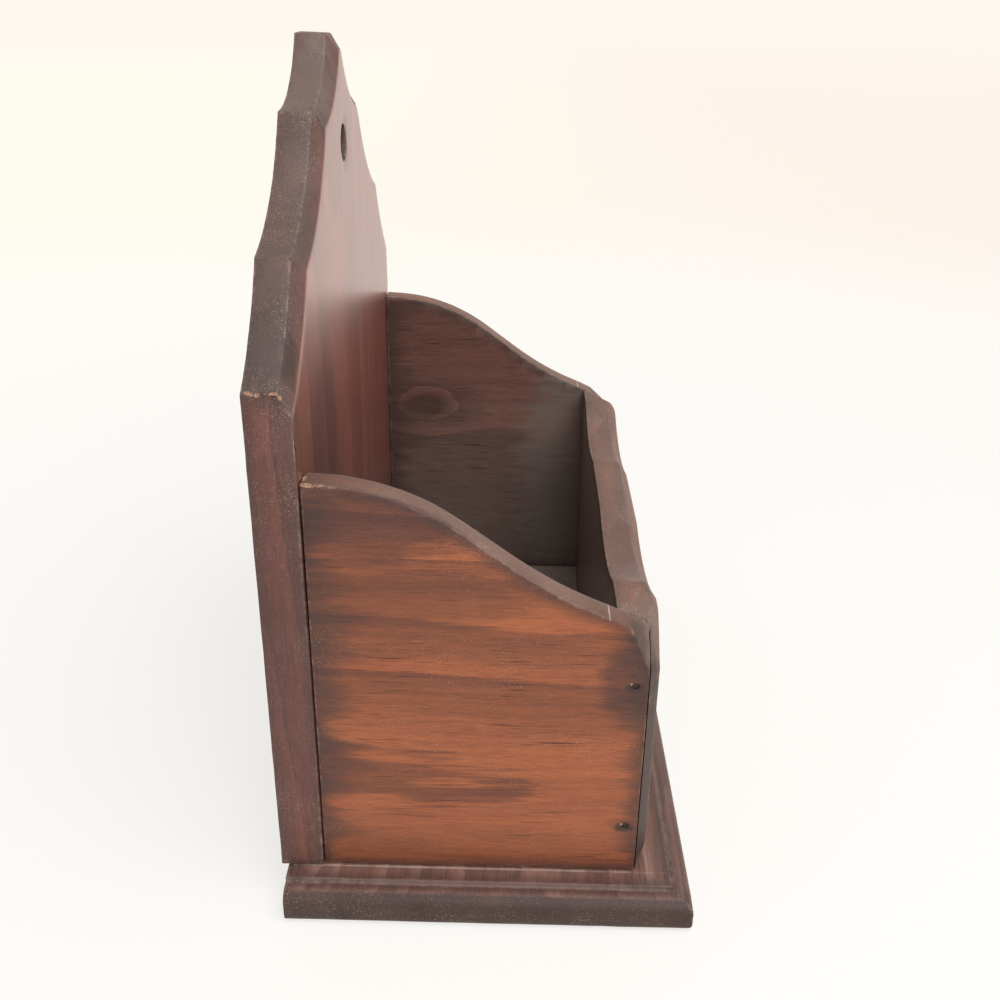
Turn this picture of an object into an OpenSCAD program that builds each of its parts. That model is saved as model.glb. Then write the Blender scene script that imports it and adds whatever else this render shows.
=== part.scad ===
// Desk letter box: a wooden box for letters with a tall scalloped back board.
// Five boards, nailed together. It stands on its base or hangs from the hole in its back.
// Origin: under the middle of the whole object, on the table. +Z is up, the front faces -Y.

/* [Whole object] */
// Height from the table to the top of the back board
overall_h = 250; // [246:1:256]
// Depth from the rear face of the back board to the front of the base
overall_d = 128; // [124:1:140]
// Width over the outer faces of the two sides
box_w = 210; // [205:1:212]

/* [Boards] */
// Thickness of the back board and of the front board
board_t = 13.5; // [12.5:0.5:15]
// Thickness of the two sides
side_t = 9; // [8:0.5:10]
// Thickness of the base board
base_t = 12.5; // [12:0.5:15]

/* [Base] */
// Width of the base board over its moulded ends
base_w = 235; // [230:1:250]
// How far the back board stands behind the rear edge of the base
base_setback = 2; // [0:0.5:4]
// Width of the rounded nose outside the step of the moulding
nose_w = 6; // [5:0.5:8]
// Height of the small step between the flat ledge and the nose
step_h = 1.2; // [0.5:0.1:2]
// Radius of the nose's upper edge
nose_top_r = 4.5; // [3:0.5:5]
// Radius of the nose's lower edge
nose_low_r = 2.5; // [1:0.5:4]

/* [Back board] */
// Width of the back board
back_w = 212; // [206:1:216]
// Height of the lower shoulders, where the upright edges end
shoulder_z = 168; // [160:1:172]
// Distance of the middle cusps from the centre line
mid_cusp_x = 79; // [76:1:82]
// Height of the middle cusps
mid_cusp_z = 197; // [194:1:200]
// Distance of the upper cusps from the centre line
top_cusp_x = 37; // [34:0.5:42]
// Height of the upper cusps
top_cusp_z = 230; // [227:1:232]
// Width of the flat at the very top
peak_w = 10; // [8:1:14]
// Diameter of the hanging hole
hole_d = 11; // [8:0.5:13]
// Height of the middle of the hanging hole
hole_z = 217; // [205:1:220]

/* [Bevels] */
// Width of the bevel, measured on the face of the board
bevel_w = 5.5; // [4:0.5:6.5]
// Depth of the bevel, measured on the edge of the board
bevel_d = 3.5; // [2:0.5:4]

/* [Sides] */
// Height of the sides' tops at the rear
side_rear_z = 142.5; // [138:0.5:146]
// Greatest slope of the S-curved top, in degrees
side_slope = 36.4; // [34:0.2:38]
// Slope of the top's last stretch, at the front, in degrees
side_end_slope = 25.2; // [22:0.2:28]

/* [Front board] */
// Height of the flats at the two ends of the front board
front_end_z = 102; // [100:0.5:104]
// Height of the raised middle of the front board
front_mid_z = 98.5; // [97:0.5:100]
// Distance from the rear face of the back board to the front face of the front board
front_face_s = 114; // [113:0.5:115]
// Half the width of the raised middle
front_mid_x = 22; // [18:1:28]
// Distance from the centre line to where the end flats begin
front_flat_x = 80; // [76:1:84]

/* [Nails] */
// Diameter of a nail's shank
nail_d = 1.8; // [1.4:0.1:2.2]
// Diameter of a nail's head
nail_head_d = 3; // [2.6:0.1:3.6]
// Depth that a head is set below the surface of the wood
nail_set = 0.8; // [0.5:0.1:1.5]

/* [Hidden] */

$fn = 96;
// Overshoot of a cutter past the face that it cuts
over = 1;

// Places along Y
rear_y = overall_d / 2;
base_front_y = -overall_d / 2;
base_rear_y = rear_y - base_setback;
back_face_y = rear_y - board_t;
front_face_y = rear_y - front_face_s;
front_inner_y = front_face_y + board_t;
side_front_y = front_face_y + bevel_d;

// Places along X
box_x = box_w / 2;
side_inner_x = box_x - side_t;
back_x = back_w / 2;

// Radii of the scallops of the back board, from the top down
top_cove_r = 40;
mid_cove_r = 70;
low_cove_r = 95;

// Radius of the two hollows in the top of the front board
front_cove_r = 88;
// Radius of the front board's top corners
front_corner_r = 12;

// The S-curved top of a side, as distances from the rear face of the back board
side_flat_s = 15;
side_upper_r = 70;
side_lower_r = 125;
side_straight_end_s = 70;
side_front_s = front_face_s - bevel_d;
// Where the straight last stretch of the top begins
side_end_s = 99;
// The cut that takes off a side's outer corner: across its thickness, back along its top, down its front
side_cut = [15.7, 7, 15.7];
side_cut_z = 102;
// The cut that slopes the front board's ends down to the sides: along it, across its edge, down its face
end_cut = [30, 19.2, 9];
// The cut through the sides' corners, carried on across the ends of the front board
lip_cut = [23.5, 10.6, 23.5];

// Nails: lengths, and heights of the rows
short_nail_l = 28;
long_nail_l = 38;
head_t = 1.2;
point_l = 2.5;
front_nail_z = [30, 81];
back_nail_z = [30, 78, 126];
base_back_nail_x = [-70, 0, 70];
base_front_nail_x = [-60, 0, 60];
base_side_nail_y = [-15, 10];
// Distance of the side nails from the rear face of the back board
front_nail_s = 106.5;
side_mid_x = box_x - side_t / 2;

// Centre of a hollow of radius r that runs from point a down and outwards to point b
function cove_centre(a, b, r) =
    let (d = b - a, l = norm(d), up = [-d[1], d[0]] / l)
    (a + b) / 2 + up * sqrt(r * r - l * l / 4);

// Points of an arc, from angle a0 to angle a1
function arc(centre, r, a0, a1, n) =
    [for (i = [0:n]) let (a = a0 + (a1 - a0) * i / n) centre + r * [cos(a), sin(a)]];

// A board with its outline in XZ, from y_front back to y_front + thick
module board_xz(y_front, thick) {
    translate([0, y_front + thick, 0]) rotate([90, 0, 0]) linear_extrude(thick) children();
}

// A board with its outline in YZ, from x_left to x_left + thick
module board_yz(x_left, thick) {
    translate([x_left, 0, 0]) rotate([90, 0, 90]) linear_extrude(thick) children();
}

// The same thing at both ends, mirrored about the centre line
module both_ends() {
    children();
    mirror([1, 0, 0]) children();
}

// Cutter for a hollow in a board's edge: a round hole that widens to the bevel at the front face
module hollow_cutter(centre, r, face_y, thick) {
    translate([centre[0], face_y - over, centre[1]]) rotate([-90, 0, 0]) {
        cylinder(r = r, h = thick + 2 * over);
        cylinder(r1 = r + bevel_w * (1 + over / bevel_d), r2 = r, h = bevel_d + over);
    }
}

// Cutter for a straight bevel: a prism l long, centred on the origin and lying along X,
// for an edge whose board is behind it (+Y) and below it (-Z)
module bevel_cutter(l, w, d) {
    k = 0.3;
    translate([-l / 2, 0, 0]) rotate([90, 0, 90]) linear_extrude(l)
        polygon([[d * (1 + k), k * w], [-k * d, -w * (1 + k)], [-k * d, k * w]]);
}

// A nail along +Z with its head at the origin
module nail(l) {
    cylinder(d = nail_head_d, h = head_t);
    cylinder(d = nail_d, h = l - point_l);
    translate([0, 0, l - point_l]) cylinder(d1 = nail_d, d2 = 0.2, h = point_l);
}

// The hole that a driven nail leaves: the nail itself and the pit over its set head
module nail_hole(l) {
    nail(l);
    translate([0, 0, -nail_set - over]) cylinder(d = nail_head_d, h = nail_set + over + head_t / 2);
}

// Where the nails of each joint lie: along +X, along -Y and along +Z
module at_left_front_nails() {
    for (z = front_nail_z)
        translate([-box_x + nail_set, rear_y - front_nail_s, z]) rotate([0, 90, 0]) children();
}

module at_left_back_nails() {
    for (z = back_nail_z)
        translate([-side_mid_x, rear_y - nail_set, z]) rotate([90, 0, 0]) children();
}

module at_base_back_nails() {
    for (x = base_back_nail_x) translate([x, rear_y - board_t / 2, nail_set]) children();
}

module at_base_front_nails() {
    for (x = base_front_nail_x) translate([x, front_inner_y - board_t / 2, nail_set]) children();
}

module at_left_base_nails() {
    for (y = base_side_nail_y) translate([-side_mid_x, y, nail_set]) children();
}

// Half section through the moulded edge: x runs out from the centre line to half_w at the nose
module moulding_half(half_w) {
    step_x = half_w - nose_w;
    nose_z = base_t - step_h;
    square([step_x, base_t]);
    translate([0, nose_low_r]) square([half_w, nose_z - nose_top_r - nose_low_r]);
    square([half_w - nose_low_r, nose_z - nose_top_r]);
    square([half_w - nose_top_r, nose_z]);
    translate([half_w - nose_low_r, nose_low_r]) circle(nose_low_r);
    translate([half_w - nose_top_r, nose_z - nose_top_r]) circle(nose_top_r);
}

// Base board: the moulding runs round the front and both ends, and the rear is square
module base_board() {
    depth = base_rear_y - base_front_y;
    color("#4a2a1c") difference() {
        intersection() {
            board_xz(base_front_y, depth) {
                moulding_half(base_w / 2);
                mirror([1, 0]) moulding_half(base_w / 2);
            }
            translate([base_w / 2 + over, base_rear_y, 0]) rotate([90, 0, -90])
                linear_extrude(base_w + 2 * over) moulding_half(depth);
        }
        at_base_back_nails() nail_hole(long_nail_l);
        at_base_front_nails() nail_hole(long_nail_l);
        both_ends() at_left_base_nails() nail_hole(long_nail_l);
    }
}

// A whole outline from its right half, which runs from the foot up to the centre line
function both_halves(half) =
    concat(half, [for (i = [len(half) - 1:-1:0]) [-half[i][0], half[i][1]]]);

// Back board: three hollows a side, bevelled in front, and a hole to hang it by
module back_board() {
    peak = [peak_w / 2, overall_h];
    top_cusp = [top_cusp_x, top_cusp_z];
    mid_cusp = [mid_cusp_x, mid_cusp_z];
    shoulder = [back_x, shoulder_z];
    color("#5c3323") difference() {
        board_xz(back_face_y, board_t)
            polygon(both_halves([[back_x, base_t], shoulder, mid_cusp, top_cusp, peak]));
        both_ends() {
            hollow_cutter(cove_centre(peak, top_cusp, top_cove_r), top_cove_r, back_face_y, board_t);
            hollow_cutter(cove_centre(top_cusp, mid_cusp, mid_cove_r), mid_cove_r, back_face_y, board_t);
            hollow_cutter(cove_centre(mid_cusp, shoulder, low_cove_r), low_cove_r, back_face_y, board_t);
        }
        translate([0, back_face_y, overall_h]) bevel_cutter(4 * peak_w, bevel_w, bevel_d);
        translate([0, back_face_y - over, hole_z]) rotate([-90, 0, 0])
            cylinder(d = hole_d, h = board_t + 2 * over);
        both_ends() at_left_back_nails() nail_hole(long_nail_l);
        at_base_back_nails() nail_hole(long_nail_l);
    }
}

// Outline of a side, as [distance from the rear face of the back board, height]
function side_outline() =
    let (normal = [sin(side_slope), cos(side_slope)],
         upper = [side_flat_s, side_rear_z - side_upper_r],
         inflection = upper + side_upper_r * normal,
         run = side_straight_end_s - inflection[0],
         straight_end = inflection + run * [1, -tan(side_slope)],
         lower = straight_end + side_lower_r * normal,
         end_turn = -90 - asin((lower[0] - side_end_s) / side_lower_r),
         end = lower + side_lower_r * [cos(end_turn), sin(end_turn)])
    concat([[side_front_s, base_t], [board_t, base_t], [board_t, side_rear_z]],
           arc(upper, side_upper_r, 90, 90 - side_slope, 12),
           arc(lower, side_lower_r, -90 - side_slope, end_turn, 8),
           [[side_front_s, end[1] - (side_front_s - side_end_s) * tan(side_end_slope)]]);

// Cutter for a corner: a pyramid that cuts off the lengths in cut along +X, +Y and -Z from the origin
module corner_cutter(cut) {
    k = 0.15;
    p = [-k * cut[0], -k * cut[1], k * cut[2]];
    l = (1 + 3 * k) * cut;
    polyhedron([p, p + [l[0], 0, 0], p + [0, l[1], 0], p - [0, 0, l[2]]],
               [[0, 2, 1], [0, 1, 3], [0, 3, 2], [1, 2, 3]]);
}

// Left side: thin board between the back board and the front board's lip
module left_side() {
    color("#9a4a25") difference() {
        board_yz(-box_x, side_t) polygon([for (p = side_outline()) [rear_y - p[0], p[1]]]);
        translate([-box_x, side_front_y, side_cut_z]) corner_cutter(side_cut);
        at_left_front_nails() nail_hole(short_nail_l);
        at_left_back_nails() nail_hole(long_nail_l);
        at_left_base_nails() nail_hole(long_nail_l);
    }
}

// Right side: the mirror image
module right_side() {
    mirror([1, 0, 0]) left_side();
}

// What is left of the front board's right top corner once it is rounded and bevelled
module front_corner() {
    translate([box_x - front_corner_r, front_face_y, front_end_z - front_corner_r])
        rotate([-90, 0, 0]) {
            cylinder(r1 = front_corner_r - bevel_w, r2 = front_corner_r, h = bevel_d);
            translate([0, 0, bevel_d]) cylinder(r = front_corner_r, h = board_t);
        }
}

// Cuts the front board's right top corner round
module front_corner_cutter() {
    r = front_corner_r;
    difference() {
        translate([box_x - r, front_face_y - over, front_end_z - r])
            cube([r + over, board_t + 2 * over, r + over]);
        front_corner();
    }
}

// Front board: wavy top, rebates at its ends that leave a thin lip over the sides' front ends
module front_board() {
    flat_w = 2 * (box_x - front_corner_r);
    edge_h = front_end_z - front_corner_r - base_t;
    raised = [front_mid_x, front_mid_z];
    end_flat = [front_flat_x, front_end_z];
    color("#6b3a26") difference() {
        board_xz(front_face_y, board_t)
            polygon(both_halves([[box_x, base_t], [box_x, front_end_z], end_flat, raised]));
        both_ends() {
            translate([side_inner_x, side_front_y, base_t - over])
                cube([side_t + over, board_t, overall_h]);
            hollow_cutter(cove_centre(raised, end_flat, front_cove_r), front_cove_r,
                          front_face_y, board_t);
            front_corner_cutter();
            translate([-box_x, front_face_y, front_end_z]) {
                corner_cutter(end_cut);
                corner_cutter(lip_cut);
            }
            translate([box_x, front_face_y, base_t + edge_h / 2]) rotate([0, 90, 0])
                bevel_cutter(edge_h, bevel_w, bevel_d);
        }
        translate([0, front_face_y, front_end_z]) bevel_cutter(flat_w, bevel_w, bevel_d);
        translate([0, front_face_y, front_mid_z])
            bevel_cutter(2 * front_mid_x, bevel_w, bevel_d);
        translate([0, front_face_y, base_t]) mirror([0, 0, 1])
            bevel_cutter(box_w + 2 * over, bevel_w, bevel_d);
        both_ends() at_left_front_nails() nail_hole(short_nail_l);
        at_base_front_nails() nail_hole(long_nail_l);
    }
}

// Nails through the sides into the front board's ends
module left_front_nails() {
    color("#3a3836") at_left_front_nails() nail(short_nail_l);
}

module right_front_nails() {
    mirror([1, 0, 0]) left_front_nails();
}

// Nails through the back board into the sides' rear ends
module left_back_nails() {
    color("#3a3836") at_left_back_nails() nail(long_nail_l);
}

module right_back_nails() {
    mirror([1, 0, 0]) left_back_nails();
}

// Nails up through the base into the back board, the front board and the sides
module base_back_nails() {
    color("#3a3836") at_base_back_nails() nail(long_nail_l);
}

module base_front_nails() {
    color("#3a3836") at_base_front_nails() nail(long_nail_l);
}

module left_base_nails() {
    color("#3a3836") at_left_base_nails() nail(long_nail_l);
}

module right_base_nails() {
    mirror([1, 0, 0]) left_base_nails();
}

base_board();
back_board();
left_side();
right_side();
front_board();
left_front_nails();
right_front_nails();
left_back_nails();
right_back_nails();
base_back_nails();
base_front_nails();
left_base_nails();
right_base_nails();
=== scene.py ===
from math import asin, atan2, cos, degrees, hypot, radians, sin, sqrt, tan

import bmesh
import bpy
from mathutils import Matrix, Vector, kdtree


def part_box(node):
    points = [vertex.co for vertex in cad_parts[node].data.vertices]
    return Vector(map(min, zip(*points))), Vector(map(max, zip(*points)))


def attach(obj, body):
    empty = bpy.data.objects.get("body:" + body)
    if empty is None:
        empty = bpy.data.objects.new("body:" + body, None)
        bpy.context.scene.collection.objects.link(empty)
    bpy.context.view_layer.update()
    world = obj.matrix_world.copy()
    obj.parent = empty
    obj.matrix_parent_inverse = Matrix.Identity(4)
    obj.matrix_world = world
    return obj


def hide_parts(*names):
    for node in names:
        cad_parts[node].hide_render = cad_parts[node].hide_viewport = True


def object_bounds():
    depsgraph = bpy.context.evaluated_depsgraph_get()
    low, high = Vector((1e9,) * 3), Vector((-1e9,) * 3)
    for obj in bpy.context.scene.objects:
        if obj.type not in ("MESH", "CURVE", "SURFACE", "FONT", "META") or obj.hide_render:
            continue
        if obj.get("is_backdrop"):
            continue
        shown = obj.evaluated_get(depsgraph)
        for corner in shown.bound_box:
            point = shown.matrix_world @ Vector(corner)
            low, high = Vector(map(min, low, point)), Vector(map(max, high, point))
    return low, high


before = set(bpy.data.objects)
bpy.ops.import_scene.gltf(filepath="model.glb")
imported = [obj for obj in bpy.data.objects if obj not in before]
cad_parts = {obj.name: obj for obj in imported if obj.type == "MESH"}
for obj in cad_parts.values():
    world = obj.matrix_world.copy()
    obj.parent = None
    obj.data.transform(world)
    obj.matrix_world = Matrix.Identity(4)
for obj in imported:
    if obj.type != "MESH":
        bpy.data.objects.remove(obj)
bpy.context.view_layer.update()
MM = 0.001


# Camera

# The picture was taken close to the left side of the box, a little above its
# top, looking along +X and down into it, with a normal lens.
bpy.ops.object.select_all(action="DESELECT")
bpy.ops.object.camera_add(location=(-0.3686, -0.0065, 0.2602))
camera = bpy.context.object
camera.name = "camera"
heading, dip, roll = radians(-89.205), radians(24.652), radians(0.80)
camera.rotation_euler = (
    Matrix.Rotation(heading, 3, "Z")
    @ Matrix.Rotation(radians(90) - dip, 3, "X")
    @ Matrix.Rotation(roll, 3, "Z")
).to_euler()
camera.data.sensor_width = 36
camera.data.lens = 39.40
camera.data.clip_start, camera.data.clip_end = 0.01, 100
bpy.context.scene.camera = camera


# Floor and light

# A white sweep of paper that runs off past the horizon, and soft studio light:
# a pale sky all round and two wide lamps, one overhead and one on the camera's side.
def linear(hex_colour):
    """An sRGB hex colour as linear RGBA."""
    parts = [int(hex_colour[i : i + 2], 16) / 255 for i in (1, 3, 5)]
    return [c / 12.92 if c <= 0.04045 else ((c + 0.055) / 1.055) ** 2.4 for c in parts] + [1]


def add(tree, kind, inputs=(), **settings):
    """Adds a shader node with its settings and links.

    The inputs come in the order of the sockets, or by name. Each is a number,
    a colour, a node (for its first output) or a socket.
    """
    made = tree.nodes.new("ShaderNode" + kind)
    for key, value in settings.items():
        setattr(made, key, value)
    for key, value in inputs.items() if isinstance(inputs, dict) else enumerate(inputs):
        if isinstance(value, bpy.types.Node):
            value = value.outputs[0]
        if isinstance(value, bpy.types.NodeSocket):
            tree.links.new(value, made.inputs[key])
        else:
            made.inputs[key].default_value = value
    return made


def new_material(name):
    """An empty node material and its tree."""
    made = bpy.data.materials.new(name)
    made.use_nodes = True
    made.node_tree.nodes.clear()
    return made, made.node_tree


bpy.ops.mesh.primitive_plane_add(size=60, location=(0, 0, 0))
floor = bpy.context.object
floor.name = "floor"
floor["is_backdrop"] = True

# Matt paper. What the camera and a gloss see of it is mostly its own plain
# colour, all of it from 0.7 m out, so that the far floor meets the sky. The rest
# is lit, so that the shadow stays.
paper, tree = new_material("paper_sweep")
path = add(tree, "LightPath").outputs
seen = add(tree, "Math", [path["Is Camera Ray"], path["Is Glossy Ray"]], operation="MAXIMUM")
where = add(tree, "TexCoord").outputs["Object"]
apart = add(tree, "VectorMath", [where], operation="LENGTH").outputs["Value"]
fade = add(tree, "MapRange", [apart, 0.12, 0.7, 0.70, 1.0], interpolation_type="SMOOTHSTEP")
share = add(tree, "Math", [seen, fade], operation="MULTIPLY")
lit = add(tree, "BsdfDiffuse", {"Color": linear("#f3eee8")})
# pinkish to one side and cream to the other, white round the box, ivory far off
axes = add(tree, "SeparateXYZ", [where]).outputs
aside = add(tree, "MapRange", [axes["Y"], -0.6, 0.5])
tint = add(tree, "MixRGB", [aside, linear("#fdf3ea"), linear("#fefbef")])
close = add(tree, "MapRange", [apart, 0.2, 1.2, 1.0, 0.0])
tint = add(tree, "MixRGB", [close, tint, linear("#fefefc")])
far = add(tree, "MapRange", [apart, 2.5, 9.0])
tint = add(tree, "MixRGB", [far, tint, linear("#fef8ef")])
# the varnish mirrors a warmer room
tint = add(tree, "MixRGB", [path["Is Glossy Ray"], tint, linear("#feeee4")])
plain = add(tree, "Emission", {"Color": tint, "Strength": 1.0})
mixed = add(tree, "MixShader", [share, lit, plain])
add(tree, "OutputMaterial", {"Surface": mixed})
floor.data.materials.append(paper)

world = bpy.data.worlds.new("studio")
bpy.context.scene.world = world
world.use_nodes = True
world.node_tree.nodes.clear()
tree = world.node_tree
path = add(tree, "LightPath").outputs
seen = add(tree, "Math", [path["Is Camera Ray"], path["Is Glossy Ray"]], operation="MAXIMUM")
sky = add(tree, "Background", {"Color": linear("#fdf8f2"), "Strength": 0.55})
tint = add(tree, "MixRGB", [path["Is Glossy Ray"], linear("#fef8ef"), linear("#feeee4")])
behind = add(tree, "Background", {"Color": tint, "Strength": 1.0})
mixed = add(tree, "MixShader", [seen, sky, behind])
add(tree, "OutputWorld", {"Surface": mixed})

aim = Vector((0, 0, 0.1))
for lamp_name, place, size, watts in (
    ("overhead", (-0.5, -0.5, 1.5), 1.2, 16),
    ("camera_side", (-1.6, -0.4, 0.9), 1.0, 12),
):
    bpy.ops.object.light_add(type="AREA", location=place)
    lamp = bpy.context.object
    lamp.name = lamp_name
    lamp.data.size = size
    lamp.data.energy = watts
    lamp.rotation_euler = (aim - Vector(place)).to_track_quat("-Z", "Y").to_euler()


# Base board

# A pine board 12.5 mm thick, planed and run past a moulding cutter on the front
# and both ends: a flat ledge, a small step down and a rounded nose. The four
# boards of the box stand on it, held by nails driven from below.
def edit(piece):
    """Selects one object alone and opens it in edit mode with nothing picked."""
    if bpy.context.mode != "OBJECT":
        bpy.ops.object.mode_set(mode="OBJECT")
    bpy.ops.object.select_all(action="DESELECT")
    piece.select_set(True)
    bpy.context.view_layer.objects.active = piece
    bpy.ops.object.mode_set(mode="EDIT")
    bpy.ops.mesh.select_all(action="DESELECT")


def done():
    """Leaves edit mode."""
    bpy.ops.object.mode_set(mode="OBJECT")


def pick(kind, test):
    """Picks the faces, edges or vertices for which test(middle, element) is true."""
    bpy.ops.mesh.select_mode(type=kind)
    bpy.ops.mesh.select_all(action="DESELECT")
    net = bmesh.from_edit_mesh(bpy.context.object.data)
    net.normal_update()
    for item in {"FACE": net.faces, "EDGE": net.edges, "VERT": net.verts}[kind]:
        corners = [item] if kind == "VERT" else item.verts
        middle = sum((v.co for v in corners), Vector()) / len(corners)
        if test(middle, item):
            item.select_set(True)
    bmesh.update_edit_mesh(bpy.context.object.data)


def block(name, low, high):
    """A sawn blank: a cube at its size and place, corners in millimetres."""
    bpy.ops.object.select_all(action="DESELECT")
    low, high = Vector(low) * MM, Vector(high) * MM
    bpy.ops.mesh.primitive_cube_add(size=1, location=(low + high) / 2, scale=high - low)
    made = bpy.context.object
    made.name = name
    bpy.ops.object.transform_apply(location=True, rotation=True, scale=True)
    return made


def rod(name, start, end, radius, vertices):
    """A round bar between two points in millimetres."""
    bpy.ops.object.select_all(action="DESELECT")
    start, end = Vector(start) * MM, Vector(end) * MM
    bpy.ops.mesh.primitive_cylinder_add(
        vertices=vertices, radius=radius * MM, depth=(end - start).length,
        location=(start + end) / 2, rotation=(end - start).to_track_quat("Z", "Y").to_euler())
    made = bpy.context.object
    made.name = name
    bpy.ops.object.transform_apply(location=True, rotation=True, scale=True)
    return made


def apply_to(piece, kind, **settings):
    """Puts a modifier on a piece and applies it."""
    bpy.ops.object.select_all(action="DESELECT")
    piece.select_set(True)
    bpy.context.view_layer.objects.active = piece
    worker = piece.modifiers.new(kind.lower(), kind)
    for key, value in settings.items():
        setattr(worker, key, value)
    bpy.ops.object.modifier_apply(modifier=worker.name)


def carve(piece, cutter, fresh="INDEX"):
    """Takes the cutter's shape out of the piece.

    With fresh="TRANSFER" the faces it leaves keep the cutter's material.
    """
    apply_to(piece, "BOOLEAN", object=cutter, operation="DIFFERENCE", solver="EXACT",
             material_mode=fresh)
    bpy.data.objects.remove(cutter)


def saw(place, normal, keep=False):
    """Cuts the open piece by a plane, its place in millimetres.

    What lies beyond the plane is taken off, unless it is kept.
    """
    bpy.ops.mesh.select_all(action="SELECT")
    bpy.ops.mesh.bisect(plane_co=Vector(place) * MM, plane_no=Vector(normal).normalized(),
                        use_fill=not keep, clear_outer=not keep)


def nail_pits(piece, heads, way):
    """The small pits over set nails: where each head's face is, and the way the nail went in."""
    pit_r, above, below = 1.0, 2.0, 1.25
    for head in heads:
        start, end = Vector(head) - above * Vector(way), Vector(head) + below * Vector(way)
        carve(piece, rod("pit", start, end, pit_r, 16))


def ease_edges(piece, width):
    """Rounds every edge a little, as sanding and years of handling leave it."""
    edit(piece)
    bpy.ops.mesh.select_all(action="SELECT")
    bpy.ops.mesh.remove_doubles(threshold=0.6 * width * MM)
    bpy.ops.mesh.dissolve_limited(angle_limit=radians(0.2))
    bpy.ops.mesh.normals_make_consistent(inside=False)
    done()
    apply_to(piece, "BEVEL", width=width * MM, segments=2, limit_method="ANGLE",
             angle_limit=radians(18), use_clamp_overlap=False, harden_normals=False)


def edge_points(piece, pits=()):
    """Points about each millimetre along the board's edges, but for the rims of its nail pits.

    An edge is where the surface turns by more than 16 degrees.
    """
    net = bmesh.new()
    net.from_mesh(piece.data)
    points = []
    for line in net.edges:
        if len(line.link_faces) == 2 and line.calc_face_angle(0) > radians(16):
            a, b = line.verts[0].co, line.verts[1].co
            steps = max(1, int((b - a).length / MM))
            points += [a.lerp(b, n / steps) for n in range(steps + 1)]
    net.free()
    pit_rim = 3 * MM
    return [p for p in points if all((p - Vector(pit) * MM).length > pit_rim for pit in pits)]


def box_of(piece):
    """The lowest and highest corner of a piece."""
    places = [v.co for v in piece.data.vertices]
    return [[limit(p[i] for p in places) for i in range(3)] for limit in (min, max)]


def wear(piece, edges, depth):
    """Rubs the board down unevenly: its edges by up to the depth, its faces hardly at all."""
    # planes about 5 mm apart give the board's faces points to work on
    gap, sliver = 5 * MM, 0.04 * MM
    low, high = box_of(piece)
    edit(piece)
    for i in range(3):
        count = int((high[i] - low[i]) / gap)
        for n in range(1, count + 1):
            at = [0, 0, 0]
            at[i] = low[i] + (high[i] - low[i]) * (n - 0.5) / count
            bpy.ops.mesh.select_all(action="SELECT")
            bpy.ops.mesh.bisect(plane_co=at, plane_no=[float(k == i) for k in range(3)])
    bpy.ops.mesh.select_all(action="SELECT")
    bpy.ops.mesh.remove_doubles(threshold=sliver)
    done()

    # the material reads how far each point is from the nearest edge, in metres
    tree = kdtree.KDTree(len(edges))
    for n, point in enumerate(edges):
        tree.insert(point, n)
    tree.balance()
    apart = [tree.find(v.co)[2] for v in piece.data.vertices]
    store = piece.data.attributes.new("edge_distance", "FLOAT", "POINT")
    store.data.foreach_set("value", apart)

    # full wear on an edge, an eighth of it 5 mm further in, always inwards
    low, high = box_of(piece)
    group = piece.vertex_groups.new(name="wear")
    for n, distance in enumerate(apart):
        group.add([n], 0.12 + 0.88 * max(0.0, 1 - distance / (5 * MM)), "REPLACE")
    for size, share in ((16, 0.6), (5, 0.4)):
        texture = bpy.data.textures.new(f"wear_{size}", "CLOUDS")
        texture.noise_scale = size * MM
        apply_to(piece, "DISPLACE", texture=texture, vertex_group="wear", mid_level=1.0,
                 strength=depth * share * MM, texture_coords="LOCAL")
    piece.vertex_groups.clear()
    for vertex in piece.data.vertices:
        vertex.co = [min(max(c, a), b) for c, a, b in zip(vertex.co, low, high)]

    # smooth shading, except across real corners
    bpy.ops.object.select_all(action="DESELECT")
    piece.select_set(True)
    bpy.context.view_layer.objects.active = piece
    bpy.ops.object.shade_smooth_by_angle(angle=radians(32))


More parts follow.
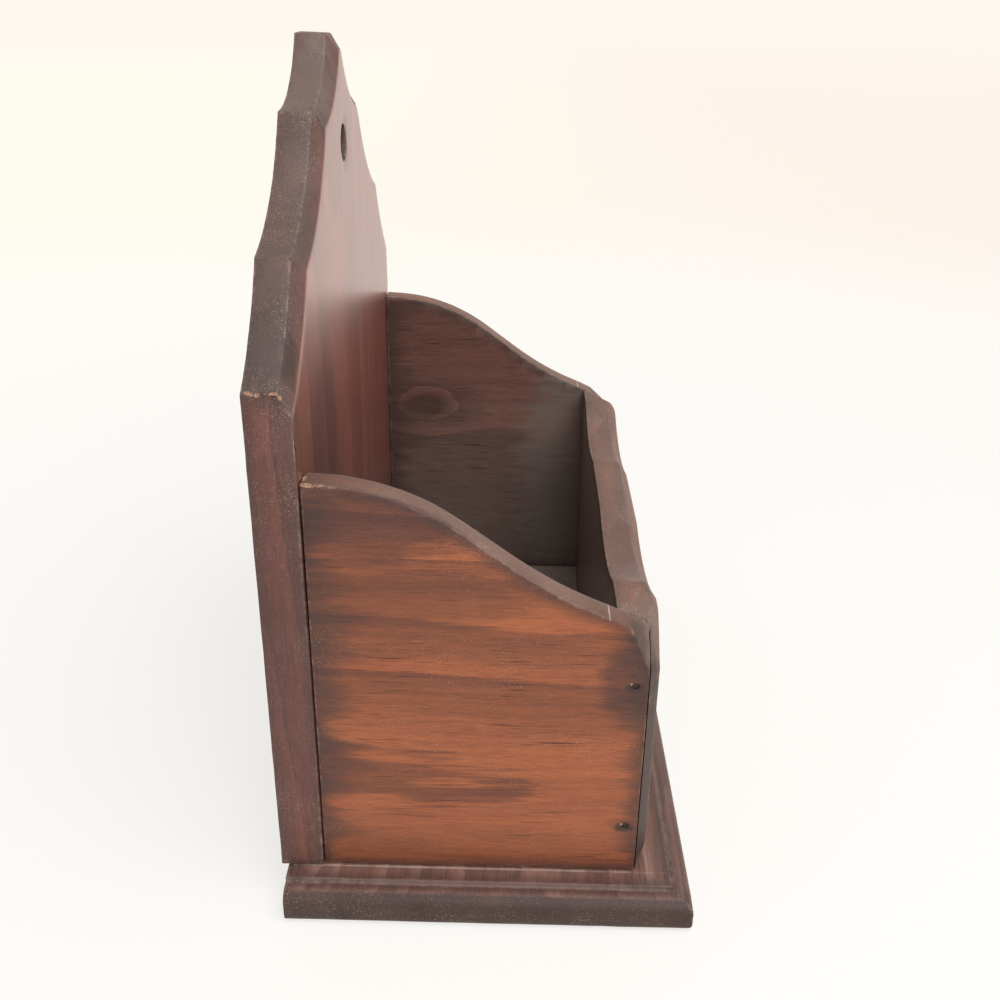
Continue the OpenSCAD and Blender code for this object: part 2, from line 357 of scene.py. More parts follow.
def stained_pine(name, along, across, through, pith, tilt, ring_gap, light, deep, edge_tint, ends,
                 inner=None, covered=None, coat=0.1, knot=None, marks=(), seed=0.0):
    """Plain-sawn pine, dyed with a dark reddish stain and given a thin satin varnish.

    The grain runs along one axis. Growth rings are cylinders round a pith that lies outside the
    board, so each face shows the figure that a saw would open there. The stain sinks in unevenly,
    is darkest round the edges and on the sawn ends, and the rings show through as bands.

    pith and tilt place the rings, ring_gap is a year's growth. edge_tint colours the sawn
    edges, stain with a painted sheen in it. ends are places along the grain and how far the
    stain crept in from them. inner is the way of the inside face with its two colours, on the
    sides a darker pair that paints the shade inside the box. covered is the half width, front
    and rear of the floor inside the box, and knot its middle and radius. Each mark has a
    middle, half its size each way, a colour and how much it covers. Lengths are in millimetres.
    """
    made, tree = new_material(name)
    where = add(tree, "TexCoord").outputs["Object"]
    axes = add(tree, "SeparateXYZ", [where]).outputs
    laid = add(tree, "CombineXYZ", [axes[across], axes[through], axes[along]])
    laid = add(tree, "Mapping", {"Vector": laid, "Location": [v * MM for v in pith],
                                 "Rotation": [radians(v) for v in tilt]})
    normal = add(tree, "SeparateXYZ", [add(tree, "NewGeometry").outputs["Normal"]]).outputs
    apart = add(tree, "Attribute", attribute_name="edge_distance").outputs["Fac"]

    # every uneven pattern in the wood: how many of its blotches go to a metre across
    # and along the grain, the step of its seed, its detail and its roughness. Each
    # line ends with the size of a blotch. Real fibres and resin canals are finer than
    # these, which have to show. The last four patterns don't follow the grain.
    pattern = {}
    for kind, across_m, along_m, step, detail, rough, at in (
        ("drift", 25, 7, 0, 2, 0.6, laid),  # 40 by 143 mm
        ("wobble", 260, 12, 0, 3, 0.6, laid),  # 3.8 by 83 mm
        ("patch", 62, 5, 3, 3, 0.6, laid),  # 16 by 200 mm
        ("streak", 520, 16, 5, 3, 0.6, laid),  # 1.9 by 63 mm
        ("fibre", 2900, 190, 0, 3, 0.7, laid),  # 0.34 by 5.3 mm
        ("pore", 2300, 24, 7, 1.5, 0.6, laid),  # 0.43 by 42 mm
        ("crowd", 90, 12, 9, 2, 0.6, laid),  # 11 by 83 mm
        ("finger", 85, 9, 11, 4, 0.65, laid),  # 12 by 111 mm
        ("blotch", 420, 90, 13, 3, 0.6, laid),  # 2.4 by 11 mm
        ("ragged", 380, 60, 0, 5, 0.6, laid),  # 2.6 by 17 mm
        ("soak", 55, 55, 15, 4, 0.6, where),  # 18 mm
        ("rub", 330, 330, 0, 4, 0.6, where),  # 3 mm
        ("speck", 3300, 3300, 0, 1, 0.6, where),  # 0.3 mm
        ("dust", 60, 60, 0, 2, 0.6, where),  # 17 mm
    ):
        at = add(tree, "VectorMath", [at, (across_m, across_m, along_m)], operation="MULTIPLY")
        pattern[kind] = add(tree, "TexNoise", {"Vector": at, "W": seed + step, "Scale": 1,
                                               "Detail": detail, "Roughness": rough},
                            noise_dimensions="4D")

    # growth rings, counted outwards from the pith: they drift by up to 7.5 mm over
    # the board and wobble by a fifth of a ring
    flat = add(tree, "VectorMath", [laid, (1, 1, 0)], operation="MULTIPLY")
    rings = add(tree, "VectorMath", [flat], operation="LENGTH").outputs["Value"]
    drift = add(tree, "MapRange", [pattern["drift"], 0, 1, -7.5 * MM, 7.5 * MM])
    rings = add(tree, "Math", [rings, drift], operation="ADD")
    if knot:
        # they bend round a dead branch, further along the grain than across it
        middle, knot_r = knot[0], knot[1] * MM
        off = add(tree, "VectorMath", [where, [v * MM for v in middle]], operation="SUBTRACT")
        squeeze = [0.55 if axis == along else 1 for axis in "XYZ"]
        off = add(tree, "VectorMath", [off, squeeze], operation="MULTIPLY")
        off = add(tree, "VectorMath", [off], operation="LENGTH").outputs["Value"]
        bend = add(tree, "MapRange", [off, 0, 2.8 * knot_r, 1.5 * ring_gap * MM, 0],
                   interpolation_type="SMOOTHSTEP")
        rings = add(tree, "Math", [rings, bend], operation="ADD")
    rings = add(tree, "Math", [rings, ring_gap * MM], operation="DIVIDE")
    wobble = add(tree, "MapRange", [pattern["wobble"], 0, 1, -0.2, 0.2])
    rings = add(tree, "Math", [rings, wobble], operation="ADD")

    # a year's growth starts pale and soft with a sharp line, and darkens into late wood
    band = add(tree, "ValToRGB", [add(tree, "Math", [rings], operation="FRACT")])
    stops = band.color_ramp.elements
    stops[0].position, stops[0].color = 0.0, (0.25, 0.25, 0.25, 1)
    stops[1].position, stops[1].color = 1.0, (0.25, 0.25, 0.25, 1)
    for place, grey in ((0.03, 1.0), (0.20, 0.92), (0.42, 0.50), (0.75, 0.34), (0.96, 0.12)):
        stops.new(place).color = (grey, grey, grey, 1)

    # a third of the tone is patches of stain, the rest the rings, with thin streaks over both
    patch = add(tree, "MapRange", [pattern["patch"], 0.32, 0.68])
    tone = add(tree, "MixRGB", [0.34, band, patch])
    streak = add(tree, "MapRange", [pattern["streak"], 0.25, 0.75, -0.18, 0.18])
    tone = add(tree, "Math", [tone, streak], operation="ADD")
    colour = add(tree, "MixRGB", [tone, linear(deep), linear(light)])

    if inner:
        # the inside face takes its own pair of colours: on the sides a darker pair, painted shade
        # inside the box, with a grey film that grows from 115 mm up down to the floor
        sign, inner_light, inner_deep = inner
        dark = add(tree, "MixRGB", [tone, linear(inner_deep), linear(inner_light)])
        film = add(tree, "MapRange", [axes["Z"], 20 * MM, 115 * MM, 0.75, 0.0])
        dark = add(tree, "MixRGB", [film, dark, linear("#655d58")])
        turned = add(tree, "Math", [normal[through], sign], operation="MULTIPLY")
        inside = add(tree, "MapRange", [turned, 0.3, 0.8])
        colour = add(tree, "MixRGB", [inside, colour, dark])
    if covered:
        # the floor of the box is dull under the same film, up to the boards that hide its border
        half_x, low_y, high_y = covered
        mid_y, half_y, border = (low_y + high_y) / 2, (high_y - low_y) / 2, 1
        aside = add(tree, "Math", [axes["X"]], operation="ABSOLUTE")
        within = add(tree, "MapRange", [aside, half_x * MM, (half_x + border) * MM, 1, 0])
        aside = add(tree, "Math", [axes["Y"], mid_y * MM], operation="SUBTRACT")
        aside = add(tree, "Math", [aside], operation="ABSOLUTE")
        film = add(tree, "MapRange", [aside, half_y * MM, (half_y + border) * MM, 0.85, 0])
        film = add(tree, "Math", [within, film], operation="MULTIPLY")
        colour = add(tree, "MixRGB", [film, colour, linear("#7a736b")])

    # wood fibres: thin darker and lighter hairs
    lift = add(tree, "MapRange", [pattern["fibre"], 0.25, 0.75, 0.70, 1.30])
    colour = add(tree, "VectorMath", [colour, lift], operation="MULTIPLY")
    # pores full of stain, long dark dashes, more of them in some places
    crowd = add(tree, "MapRange", [pattern["crowd"], 0.35, 0.7, 0.0, 0.07])
    pores = add(tree, "Math", [pattern["pore"], crowd], operation="ADD")
    pores = add(tree, "MapRange", [pores, 0.655, 0.74, 0.0, 0.75])
    colour = add(tree, "MixRGB", [pores, colour, linear("#2b1a18")])

    # smoky stain that crept in from every edge by 2.5 to 8 mm, and from the sawn ends in fingers
    reach = add(tree, "MapRange", [pattern["finger"], 0.3, 0.7, 2.5 * MM, 8 * MM])
    smoke = add(tree, "MapRange", [apart, 0, reach, 0.9, 0], interpolation_type="SMOOTHSTEP")
    for end, longest in ends:
        inward = add(tree, "Math", [axes[along], end * MM], operation="SUBTRACT")
        inward = add(tree, "Math", [inward], operation="ABSOLUTE")
        reach = add(tree, "MapRange", [pattern["finger"], 0.38, 0.68,
                                       0.12 * longest * MM, longest * MM])
        finger = add(tree, "MapRange", [inward, 0, reach, 1, 0], interpolation_type="SMOOTHSTEP")
        smoke = add(tree, "Math", [smoke, finger], operation="MAXIMUM")
    blotch = add(tree, "MapRange", [pattern["blotch"], 0.3, 0.7, 0.62, 0.9])
    smoke = add(tree, "Math", [smoke, blotch], operation="MULTIPLY")
    colour = add(tree, "MixRGB", [smoke, colour, linear("#3f302d")])
    if knot:
        fray = add(tree, "MapRange", [pattern["finger"], 0.3, 0.7, -0.3 * knot_r, 0.3 * knot_r])
        heart = add(tree, "Math", [off, fray], operation="ADD")
        heart = add(tree, "MapRange", [heart, 0.5 * knot_r, 1.2 * knot_r, 0.55, 0.0])
        colour = add(tree, "MixRGB", [heart, colour, linear("#332622")])

    # sawn and moulded edges took the stain like blotting paper: a dull grey-brown, which partly
    # paints the sheen they catch, strongest on the end grain, still streaky along the grain
    face = add(tree, "Math", [normal[through]], operation="ABSOLUTE")
    edge = add(tree, "MapRange", [face, 0.87, 0.97, 1.0, 0.0])
    end_grain = add(tree, "Math", [normal[along]], operation="ABSOLUTE")
    end_grain = add(tree, "MapRange", [end_grain, 0.10, 0.55, 0.5, 0.94])
    tinted = add(tree, "VectorMath", [linear(edge_tint)[:3], lift], operation="MULTIPLY")
    soak = add(tree, "MapRange", [pattern["soak"], 0.3, 0.7, 0.72, 1.28])
    tinted = add(tree, "VectorMath", [tinted, soak], operation="MULTIPLY")
    dulled = add(tree, "Math", [edge, end_grain], operation="MULTIPLY")
    colour = add(tree, "MixRGB", [dulled, colour, tinted])

    # corners rubbed pale in a broken line half a millimetre wide, which also paints a highlight
    # along them
    rim = add(tree, "MapRange", [apart, 0.1 * MM, 0.55 * MM, 0.42, 0.0])
    broken = add(tree, "MapRange", [pattern["rub"], 0.45, 0.66])
    rim = add(tree, "Math", [rim, broken], operation="MULTIPLY")
    colour = add(tree, "MixRGB", [rim, colour, linear("#a08a7e")])

    # dust and tiny bare spots, in drifts, thickest near and on the edges
    near = add(tree, "MapRange", [apart, 0.5 * MM, 5 * MM, 0.035, 0.0])
    drifts = add(tree, "MapRange", [pattern["dust"], 0.3, 0.7, -0.06, 0.06])
    sawn = add(tree, "Math", [edge, 0.03], operation="MULTIPLY")
    amount = pattern["speck"]
    for more in (near, drifts, sawn):
        amount = add(tree, "Math", [amount, more], operation="ADD")
    specks = add(tree, "MapRange", [amount, 0.68, 0.78, 0.0, 0.6])
    colour = add(tree, "MixRGB", [specks, colour, linear("#b8a394")])

    # single marks, each a soft ragged oval
    ragged = add(tree, "MapRange", [pattern["ragged"], 0.2, 0.8, -0.45, 0.45])
    for middle, half, tint, share in marks:
        mark = add(tree, "VectorMath", [where, [v * MM for v in middle]], operation="SUBTRACT")
        mark = add(tree, "VectorMath", [mark, [1 / (v * MM) for v in half]], operation="MULTIPLY")
        mark = add(tree, "VectorMath", [mark], operation="LENGTH").outputs["Value"]
        mark = add(tree, "Math", [mark, ragged], operation="ADD")
        mark = add(tree, "MapRange", [mark, 0.5, 1.15, share, 0.0],
                   interpolation_type="SMOOTHSTEP")
        colour = add(tree, "MixRGB", [mark, colour, linear(tint)])

    # satin varnish on the faces, thin enough for the fibres to stand up in it; the
    # edges drank it and stayed duller
    rough = add(tree, "MapRange", [pattern["fibre"], 0.3, 0.7, 0.30, 0.40])
    dull = add(tree, "Math", [edge, 0.15], operation="MULTIPLY")
    rough = add(tree, "Math", [rough, dull], operation="ADD")
    ridge = add(tree, "Math", [band, 0.4], operation="MULTIPLY")
    height = add(tree, "Math", [pattern["fibre"], ridge], operation="ADD")
    bump = add(tree, "Bump", {"Height": height, "Strength": 0.2, "Distance": 0.2 * MM})
    on_face = add(tree, "Math", [1, edge], operation="SUBTRACT")
    varnish = add(tree, "BsdfPrincipled", {
        "Base Color": colour, "Roughness": rough, "Normal": bump, "IOR": 1.5,
        "Specular IOR Level": 0.3, "Coat Roughness": 0.29, "Coat IOR": 1.5,
        "Coat Weight": add(tree, "Math", [on_face, coat], operation="MULTIPLY")})
    add(tree, "OutputMaterial", {"Surface": varnish})
    return made


def cad_box(node):
    """The lowest and highest corner of a CAD node, to a hundredth of a millimetre."""
    return [[round(v / MM, 2) for v in corner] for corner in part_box(node)]


(_, base_front, _), (base_half, base_rear, base_top) = cad_box("base_board")
nose_z, nose_w, nose_r, foot_r = 11.3, 6, 4.5, 2.5
# the boards that stand on it
(_, back_face, _), (back_half, back_rear, peak_z) = cad_box("back_board")
(_, front_face, _), (box_half, front_inner, front_top) = cad_box("front_board")
(side_inner, side_front, _), (_, _, side_top) = cad_box("right_side")
nail_set = 0.8

base = block("base_board_wood", (-base_half, base_front, 0), (base_half, base_rear, nose_z))
base.data.materials.append(stained_pine(
    "stained_pine_base", along="X", across="Y", through="Z",
    pith=(10, 70, 0), tilt=(1.5, 2, 0), ring_gap=5,
    light="#916d61", deep="#5d443c", edge_tint="#3f312e",
    ends=((-base_half, 9), (base_half, 9)), seed=1.0,
    covered=(side_inner, front_inner, back_face),
    marks=[
        # pale lines along the feet of the side and of the front board: dust, and a painted
        # highlight
        ((-105.6, 8, 12.6), (0.5, 70, 0.6), "#b6a398", 0.55),
        ((0, -50.6, 12.6), (105, 0.5, 0.6), "#b6a398", 0.4),
        # the step, rubbed paler and painted with a highlight along its edge
        ((-111.5, 2, 12), (1.0, 75, 1.6), "#7a655e", 0.6),
        ((0, -58, 12), (118, 1.0, 1.6), "#7a655e", 0.5),
    ]))


def moulded(middle):
    """Whether a place lies on the front or an end of the base."""
    return middle.y < (base_front + 0.1) * MM or abs(middle.x) > (base_half - 0.1) * MM


edit(base)
pick("EDGE", lambda m, e: m.z > (nose_z - 0.1) * MM and moulded(m))
bpy.ops.mesh.bevel(offset=nose_r * MM, segments=7, affect="EDGES")
pick("EDGE", lambda m, e: m.z < 0.1 * MM and moulded(m))
bpy.ops.mesh.bevel(offset=foot_r * MM, segments=4, affect="EDGES")
for place, normal in (((base_half - nose_w, 0, 0), (1, 0, 0)),
                      ((nose_w - base_half, 0, 0), (1, 0, 0)),
                      ((0, base_front + nose_w, 0), (0, 1, 0))):
    saw(place, normal, keep=True)
pick("FACE", lambda m, f: f.normal.z > 0.99 and m.z > (nose_z - 0.01) * MM
     and abs(m.x) < (base_half - nose_w) * MM and m.y > (base_front + nose_w) * MM)
step_up = (0, 0, (base_top - nose_z) * MM)
bpy.ops.mesh.extrude_region_move(TRANSFORM_OT_translate={"value": step_up})
bpy.ops.mesh.select_all(action="SELECT")
bpy.ops.mesh.normals_make_consistent(inside=False)
done()
# nails up into the middle of the back board, the front board and each side
side_mid = (side_inner + box_half) / 2
heads = [(x, (back_face + back_rear) / 2, nail_set) for x in (-70, 0, 70)]
heads += [(x, (front_face + front_inner) / 2, nail_set) for x in (-60, 0, 60)]
heads += [(x, y, nail_set) for x in (-side_mid, side_mid) for y in (-15, 10)]
nail_pits(base, heads, (0, 0, 1))
ease_edges(base, 0.5)
wear(base, edge_points(base, heads), 0.45)
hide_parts("base_board")
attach(base, "root")


# Back board

# A wide pine board with upright grain. Its top was band-sawn to three hollows a
# side, and the front of the sawn edge was bevelled. One hole hangs it on a wall.
bevel_w, bevel_d = 5.5, 3.5
outline = [(back_half, 168), (79, 197), (37, 230), (5, peak_z)]  # shoulder, two cusps, peak
radii = [95, 70, 40]
hole_z, hole_r = 217, 5.5
past = 1  # how far a cutter goes on past the face


def hollow(ends, radius, face, rear):
    """A cutter for a sawn hollow between two points: a round bar that flares to the bevel."""
    (ax, az), (bx, bz) = ends
    reach = sqrt(radius ** 2 - ((ax - bx) ** 2 + (az - bz) ** 2) / 4)
    length = hypot(ax - bx, az - bz)
    cx = (ax + bx) / 2 + abs(az - bz) / length * reach * (1 if ax > 0 else -1)
    cz = (az + bz) / 2 + abs(ax - bx) / length * reach
    made = rod("hollow", (cx, face + bevel_d, cz), (cx, rear + past, cz), radius, 300)
    edit(made)
    pick("FACE", lambda m, f: m.y < (face + bevel_d + 0.1) * MM and len(f.verts) > 4)
    forward = (0, -(bevel_d + past) * MM, 0)
    bpy.ops.mesh.extrude_region_move(TRANSFORM_OT_translate={"value": forward})
    flare = (radius + bevel_w * (1 + past / bevel_d)) / radius
    bpy.ops.transform.resize(value=(flare, 1, flare),
                             center_override=(cx * MM, (face - past) * MM, cz * MM))
    done()
    return made


def chip(piece, spot, size, turn):
    """Knocks a splinter off an edge: a rough lump bitten out, with bare wood showing."""
    bpy.ops.object.select_all(action="DESELECT")
    bpy.ops.mesh.primitive_ico_sphere_add(
        subdivisions=2, radius=MM, location=Vector(spot) * MM,
        rotation=[radians(v) for v in turn], scale=size)
    lump = bpy.context.object
    bpy.ops.object.transform_apply(location=False, rotation=True, scale=True)
    bpy.ops.object.transform_apply(location=True, rotation=False, scale=False)
    lump.data.materials.append(bare)
    edit(lump)
    bpy.ops.mesh.select_all(action="SELECT")
    bpy.ops.transform.vertex_random(offset=0.35 * min(size) * MM, seed=int(spot[1] * 10))
    done()
    carve(piece, lump, "TRANSFER")


back = block("back_board_wood", (-back_half, back_face, base_top), (back_half, back_rear, peak_z))
back.data.materials.append(stained_pine(
    "stained_pine_back", along="Z", across="X", through="Y",
    pith=(20, 60, 0), tilt=(2, 1.5, 0), ring_gap=8,
    light="#935445", deep="#5c3531", edge_tint="#554541",
    ends=((base_top, 14),), coat=1.0, seed=2.0,
    marks=[
        # painted shade on the wall of the hole
        ((0, 57, hole_z), (6.2, 14, 6.2), "#1c1412", 0.97),
        # the lowest hollow and its bevel are dark, the next bevel less so
        ((-98, 60, 181), (16, 9.5, 19), "#332f2f", 0.45),
        ((-98, 52, 182), (11, 3, 16), "#382e2b", 0.7),
        ((-68, 52, 210), (14, 3, 22), "#4a3b36", 0.5),
        # the face is orange beside its near edge and purplish next to that
        ((-94, 50.2, 150), (6, 1.2, 32), "#8d5632", 0.5),
        ((-62, 50, 140), (26, 6, 30), "#43282a", 0.5),
        # dusty round the peak, darker down the near edge
        ((-20, 58, 240), (24, 9, 18), "#8d7d75", 0.2),
        ((-106, 58, 90), (2, 9, 85), "#42302e", 0.25),
    ]))
edit(back)
for (ax, az), (bx, bz) in zip(outline, outline[1:]):
    for side in (1, -1):
        saw((side * ax, 0, az), (side * (bz - az), 0, ax - bx))
saw((0, back_face, peak_z - bevel_w), (0, -bevel_w, bevel_d))
done()
for ends, radius in zip(zip(outline, outline[1:]), radii):
    for side in (1, -1):
        carve(back, hollow([(side * x, z) for x, z in ends], radius, back_face, back_rear))
carve(back, rod("hanging_hole", (0, back_face - past, hole_z), (0, back_rear + past, hole_z),
                hole_r, 64))
# nails forward into the rear end of each side
heads = [(x, back_rear - nail_set, z) for x in (-side_mid, side_mid) for z in (30, 78, 126)]
nail_pits(back, heads, (0, -1, 0))
ease_edges(back, 0.55)
edges = edge_points(back, heads)

# bare pine where a splinter broke away: pale, matt and fibrous, fibres 0.7 mm by 6 mm
bare, tree = new_material("bare_pine")
where = add(tree, "TexCoord").outputs["Object"]
fibres = add(tree, "VectorMath", [where, (1500, 1500, 160)], operation="MULTIPLY")
fibres = add(tree, "TexNoise", {"Vector": fibres, "W": 0, "Scale": 1, "Detail": 3,
                                "Roughness": 0.6}, noise_dimensions="4D")
fibres = add(tree, "MapRange", [fibres, 0.3, 0.7])
raw = add(tree, "MixRGB", [fibres, linear("#7d5a49"), linear("#b3937d")])
wood = add(tree, "BsdfPrincipled", {
    "Base Color": raw, "Roughness": 0.8, "IOR": 1.5, "Specular IOR Level": 0.3})
add(tree, "OutputMaterial", {"Surface": wood})
# chips along the near shoulder, from the rear forwards, and two down the front edge
for spot, size, turn in (
    ((-106.2, 61.4, 168.2), (0.9, 1.6, 0.6), (14, 30, 0)),
    ((-106.4, 59.4, 167.7), (0.8, 0.8, 1.1), (40, 0, 20)),
    ((-106.3, 55.4, 168.1), (0.8, 1.8, 0.6), (-12, 40, 10)),
    ((-106.0, 53.0, 167.5), (1.0, 1.0, 1.2), (50, 10, 0)),
    ((-106.2, 51.3, 165.4), (0.8, 0.7, 2.2), (8, 0, 30)),
    ((-106.3, 50.2, 153.0), (0.9, 0.7, 3.0), (0, 5, 10)),
):
    chip(back, spot, size, turn)
wear(back, edges, 0.5)
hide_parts("back_board")
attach(back, "root")


# Sides

# Two thin pine boards, 9 mm, with the grain running front to back. Each top was
# sawn to a flowing S that ends in a straight slope, and its outer front corner
# was cut off together with the front board's.
def start_outline(name, place, material):
    """One vertex at a place in millimetres, from which an outline is drawn."""
    bpy.ops.object.select_all(action="DESELECT")
    bpy.ops.mesh.primitive_plane_add(size=MM, location=Vector(place) * MM)
    made = bpy.context.object
    made.name = name
    made.data.materials.append(material)
    bpy.ops.object.transform_apply(location=True, rotation=True, scale=True)
    edit(made)
    bpy.ops.mesh.select_mode(type="VERT")
    bpy.ops.mesh.select_all(action="SELECT")
    bpy.ops.mesh.merge(type="CENTER")
    return made


def draw_line(dx, dy, dz):
    """Draws the outline on by a straight stretch, in millimetres."""
    stretch = (dx * MM, dy * MM, dz * MM)
    bpy.ops.mesh.extrude_region_move(TRANSFORM_OT_translate={"value": stretch})


def draw_arc(centre, turn, steps, axis):
    """Draws the outline on round a centre, turning by some degrees about an axis."""
    bpy.ops.mesh.spin(steps=steps, angle=-radians(turn), axis=axis, center=Vector(centre) * MM)


def thicken_outline(dx, dy, dz):
    """Closes the outline, fills it and gives it its thickness."""
    bpy.ops.mesh.select_all(action="SELECT")
    bpy.ops.mesh.remove_doubles(threshold=0.01 * MM)
    bpy.ops.mesh.edge_face_add()
    draw_line(dx, dy, dz)
    bpy.ops.mesh.select_all(action="SELECT")
    bpy.ops.mesh.normals_make_consistent(inside=False)
    done()


# the top, each s counted forwards from the rear of the box: level, round over,
# straight down the slope, hollow out, and straight again to the front
slope, last_slope = radians(36.4), radians(25.2)
upper_s, upper_r, slope_end_s, lower_r, last_s = 15, 70, 70, 125, 99
upper_z = side_top - upper_r
turn_s, turn_z = upper_s + upper_r * sin(slope), upper_z + upper_r * cos(slope)
run = slope_end_s - turn_s
lower_s = slope_end_s + lower_r * sin(slope)
lower_z = turn_z - run * tan(slope) + lower_r * cos(slope)
lower_turn = asin((lower_s - last_s) / lower_r) - slope
last_z = lower_z - sqrt(lower_r ** 2 - (lower_s - last_s) ** 2)
last_run = back_rear - side_front - last_s
last_drop = last_run * tan(last_slope)
# how far the corner's slanting cut reaches along each axis, from the height of the front board
side_cut = (15.7, 7, 15.7)
front_nail_z, front_nail_y = (30, 81), -42.5
side_t = box_half - side_inner

for node, into in (("left_side", 1), ("right_side", -1)):
    side_x, inner_x = -into * box_half, -into * side_inner
    wood = stained_pine(
        "stained_pine_" + node, along="Y", across="Z", through="X",
        pith=(-45, 165, 0), tilt=(1.5, 0, 0), ring_gap=12,
        light="#9d5a39", deep="#5b362c", edge_tint="#6e564d",
        ends=((side_front, 19), (back_face, 38)), seed=3.0 if into > 0 else 4.0,
        # the inside in a darker pair of colours: painted shade inside the box
        inner=(into, "#7c5548", "#4a352f"),
        knot=None if into > 0 else ((96, 34.3, 93.2), 6.5),
        marks=[
            # dark towards the rear top corner, less so below it
            ((side_x, 34, 131), (3, 34, 13), "#37282a", 0.6),
            ((side_x, 20, 108), (3, 30, 12), "#4a302b", 0.35),
            # smoke round the upper nail and over the cut corner
            ((side_x, -40, 82), (3, 9, 17), "#3a2d2b", 0.65),
            ((side_x + into * side_t / 3, -43, 97), (4, 5, 8), "#3a302d", 0.6),
            # the inside is greyest next to the front board
            ((inner_x, -28, 62), (2, 22, 58), "#72706c", 0.45),
            # each nail's dark smudge, with one light speck
            *[((side_x, -42.2, z - 0.3), (3, 3.0, 2.0), "#2f2625", 0.8) for z in front_nail_z],
            *[((side_x, -41.3, z + 0.9), (3, 0.4, 0.4), "#b7a598", 0.8) for z in front_nail_z],
            # a pale scratch across the top where the front board's ends begin
            ((side_x + into * side_t / 2, -34, 103), (5.5, 0.3, 1.5), "#c4b0a2", 0.6),
        ])
    side = start_outline(node + "_wood", (side_x, back_face, side_top), wood)
    x_axis = (1, 0, 0)
    draw_line(0, back_rear - upper_s - back_face, 0)
    draw_arc((side_x, back_rear - upper_s, upper_z), degrees(slope), 14, x_axis)
    draw_line(0, -run, -run * tan(slope))
    draw_arc((side_x, back_rear - lower_s, lower_z), degrees(lower_turn), 10, x_axis)
    draw_line(0, -last_run, -last_drop)
    draw_line(0, 0, base_top - last_z + last_drop)
    draw_line(0, back_face - side_front, 0)
    draw_line(0, 0, side_top - base_top)
    thicken_outline(into * side_t, 0, 0)
    edit(side)
    saw((side_x, side_front + side_cut[1], front_top),
        (-into / side_cut[0], -1 / side_cut[1], 1 / side_cut[2]))
    done()
    # nails into the front board's ends
    heads = [(side_x + into * nail_set, front_nail_y, z) for z in front_nail_z]
    nail_pits(side, heads, (into, 0, 0))
    ease_edges(side, 0.45)
    edges = edge_points(side, heads)
    if node == "left_side":
        # chips on the near rear top corner
        for spot, size, turn in (
            ((-105.2, 48.6, 142.6), (1.6, 2.4, 0.8), (10, 20, 0)),
            ((-104.9, 45.0, 142.5), (1.0, 1.6, 0.6), (0, 20, 30)),
            ((-100.5, 49.9, 142.8), (1.6, 0.9, 0.8), (20, 0, 0)),
        ):
            chip(side, spot, size, turn)
    wear(side, edges, 0.4)
    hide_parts(node)
    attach(side, "root")


# Front board

# A pine board with the grain across, its top sawn wavy and its whole front edge
# bevelled. A rebate at each end leaves a thin lip over the front of the side.
mid_top, flat_x, mid_x, hollow_r, round_r = 98.5, 80, 22, 88, 12
end_cut, lip_cut = (30, 19.2, 9), (23.5, 10.6, 23.5)
wood = stained_pine(
    "stained_pine_front", along="X", across="Z", through="Y",
    pith=(-40, 80, 0), tilt=(1, 2, 0), ring_gap=7,
    light="#96573c", deep="#5c3628", edge_tint="#6e5d56",
    ends=((-box_half, 16), (box_half, 16)),
    inner=(1, "#7f776f", "#615a54"), seed=5.0,
    marks=[
        # the near lip and the cut corner over it are dark
        ((-104, -48, 45), (8, 7, 64), "#241d1b", 0.75),
        ((-103, -43, 95), (9, 11, 12), "#3b2f2a", 0.7),
    ])
chord = hypot(flat_x - mid_x, front_top - mid_top)
reach = sqrt(hollow_r ** 2 - chord ** 2 / 4)
hollow_x = (flat_x + mid_x) / 2 - (front_top - mid_top) / chord * reach
hollow_z = (front_top + mid_top) / 2 + (flat_x - mid_x) / chord * reach
sweep = degrees(2 * atan2(chord / 2, reach))
round_x, round_z, y_axis = box_half - round_r, front_top - round_r, (0, 1, 0)
front = start_outline("front_board_wood", (box_half, front_face, base_top), wood)
draw_line(0, 0, round_z - base_top)
draw_arc((round_x, front_face, round_z), -90, 9, y_axis)
draw_line(flat_x - round_x, 0, 0)
draw_arc((hollow_x, front_face, hollow_z), sweep, 22, y_axis)
draw_line(-2 * mid_x, 0, 0)
draw_arc((-hollow_x, front_face, hollow_z), sweep, 22, y_axis)
draw_line(flat_x - round_x, 0, 0)
draw_arc((-round_x, front_face, round_z), -90, 9, y_axis)
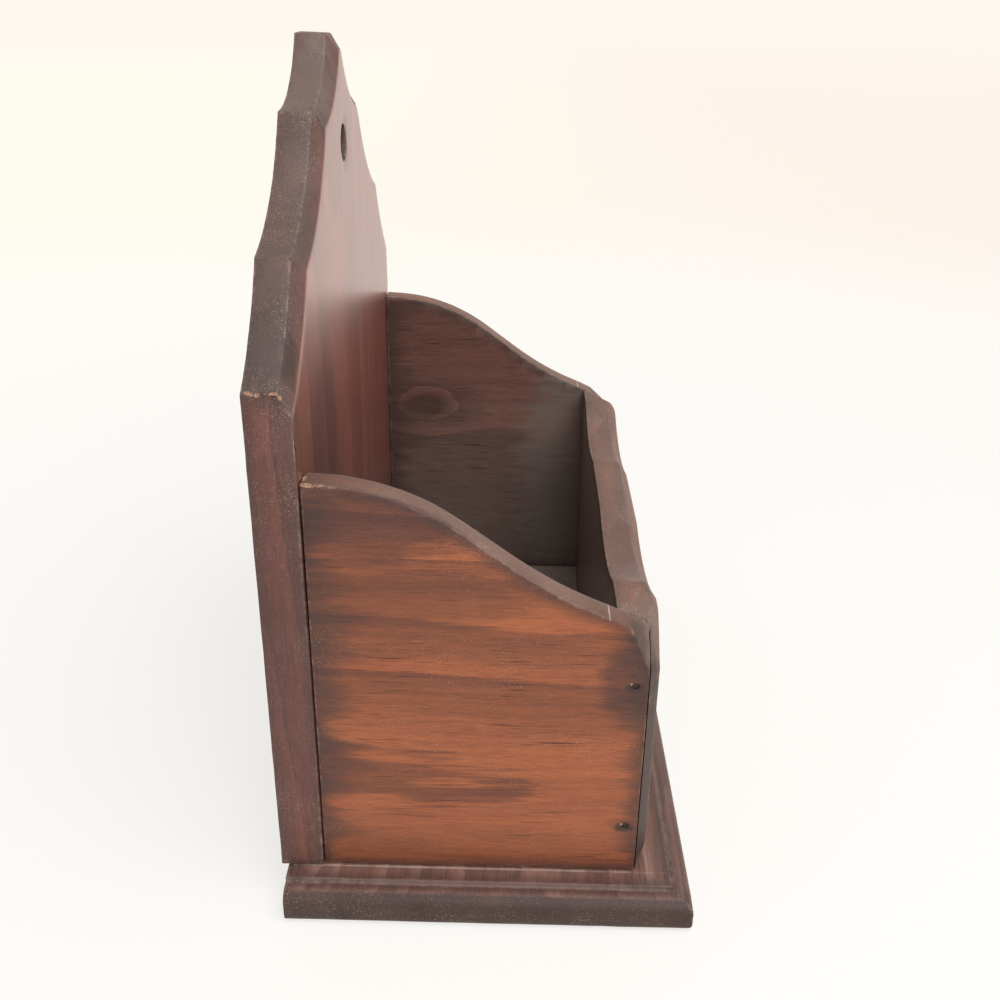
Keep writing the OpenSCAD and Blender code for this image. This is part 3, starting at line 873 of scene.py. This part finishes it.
draw_line(0, 0, base_top - round_z)
draw_line(2 * box_half, 0, 0)
thicken_outline(0, front_inner - front_face, 0)
edit(front)
pick("FACE", lambda m, f: f.normal.y < -0.99)
bpy.ops.mesh.inset(thickness=bevel_w * MM, use_even_offset=True)
inner = {v.index for v in bmesh.from_edit_mesh(front.data).verts if v.select}
pick("VERT", lambda m, v: m.y < (front_face + 0.01) * MM and v.index not in inner)
bpy.ops.transform.translate(value=(0, bevel_d * MM, 0))
done()
for side in (1, -1):
    low, high = sorted((side * side_inner, side * (box_half + 5)))
    carve(front, block("rebate", (low, front_face + bevel_d, 5), (high, front_inner + 5, 120)))
    # the end was planed down with the top of the side, and its corner cut with the side's corner
    edit(front)
    for reach_x, reach_y, reach_z in (end_cut, lip_cut):
        saw((side * box_half, front_face + reach_y, front_top),
            (side / reach_x, -1 / reach_y, 1 / reach_z))
    done()
ease_edges(front, 0.5)
wear(front, edge_points(front), 0.45)
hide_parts("front_board")
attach(front, "root")


# Nails

# Wire nails hold the boards together. Of each only the head could show, at the
# bottom of its pit. The steel is rusty and has taken the stain: dark, rough and
# hardly metallic, with rust in spots of 0.7 mm.
steel, tree = new_material("nail_steel")
where = add(tree, "TexCoord").outputs["Object"]
rust = add(tree, "VectorMath", [where, (1400, 1400, 1400)], operation="MULTIPLY")
rust = add(tree, "TexNoise", {"Vector": rust, "W": 0, "Scale": 1, "Detail": 3,
                              "Roughness": 0.6}, noise_dimensions="4D")
rust = add(tree, "MapRange", [rust, 0.4, 0.65])
skin = add(tree, "MixRGB", [rust, linear("#3a312d"), linear("#503a32")])
metal = add(tree, "BsdfPrincipled", {
    "Base Color": skin, "Metallic": 0.3, "Roughness": 0.65, "IOR": 1.5, "Specular IOR Level": 0.3})
add(tree, "OutputMaterial", {"Surface": metal})
for name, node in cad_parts.items():
    if name.endswith("_nails"):
        node.data.materials.clear()
        node.data.materials.append(steel)


# Colour view and sizes

bpy.context.scene.view_settings.view_transform = "Standard"
low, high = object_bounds()
